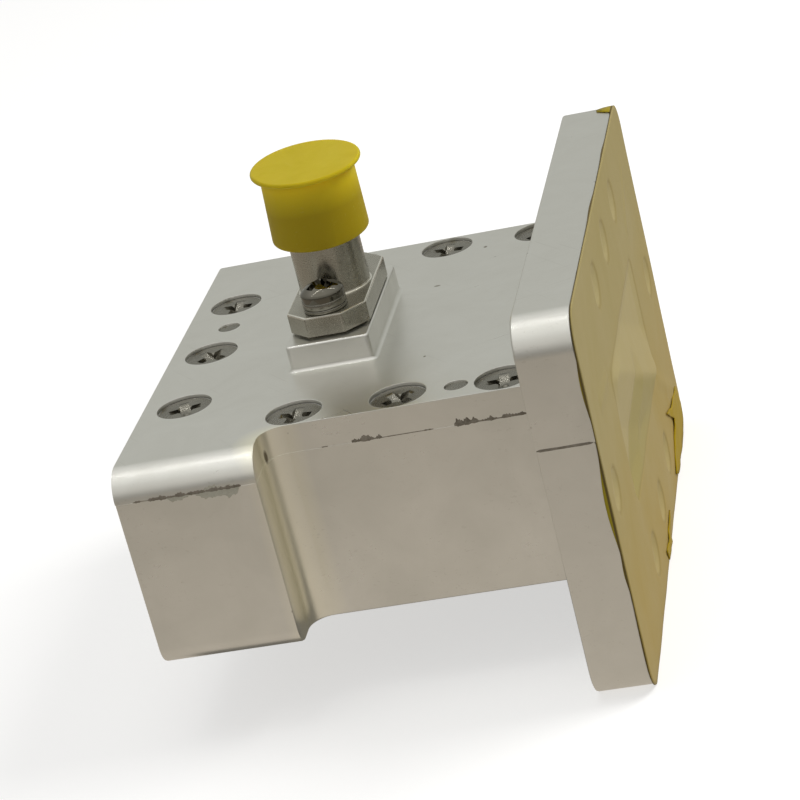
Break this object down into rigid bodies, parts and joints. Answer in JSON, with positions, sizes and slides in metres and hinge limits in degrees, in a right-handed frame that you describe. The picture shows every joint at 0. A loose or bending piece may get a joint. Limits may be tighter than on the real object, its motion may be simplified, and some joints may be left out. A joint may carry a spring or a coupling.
{
  "type": "waveguide to coaxial adapter",
  "caption": "Right-angle adapter: a split aluminium block with a rectangular waveguide flange under a yellow film and a capped coaxial jack on its lid.",
  "frame": {"origin": "centre of the waveguide flange's face, on the guide's axis", "axes": "+X out of the flange along the guide, +Z towards the coaxial jack, Y across the guide's broad side"},
  "size_m": [0.0411, 0.056, 0.0424],
  "materials": {
    "machined_aluminium": "fine milled, passivated, satin",
    "screw_steel": "satin",
    "jack_steel": "turned and passivated",
    "bright_steel": "bright",
    "insulator": "smooth",
    "contact_gold": "gold plated",
    "yellow_plastic": "soft, waxy",
    "yellow_film": "thin translucent film"
  },
  "bodies": {
    "root": {"lower_half": "machined_aluminium", "upper_half": "machined_aluminium", "lid_screws": "screw_steel", "dowel_pins": "screw_steel", "jack_body": "jack_steel", "jack_insulator": "insulator", "centre_contact": "contact_gold", "jack_screws": "bright_steel", "flat_washers": "bright_steel", "spring_washers": "bright_steel", "dust_cap": "yellow_plastic", "protective_film": "yellow_film"}
  },
  "joints": []
}
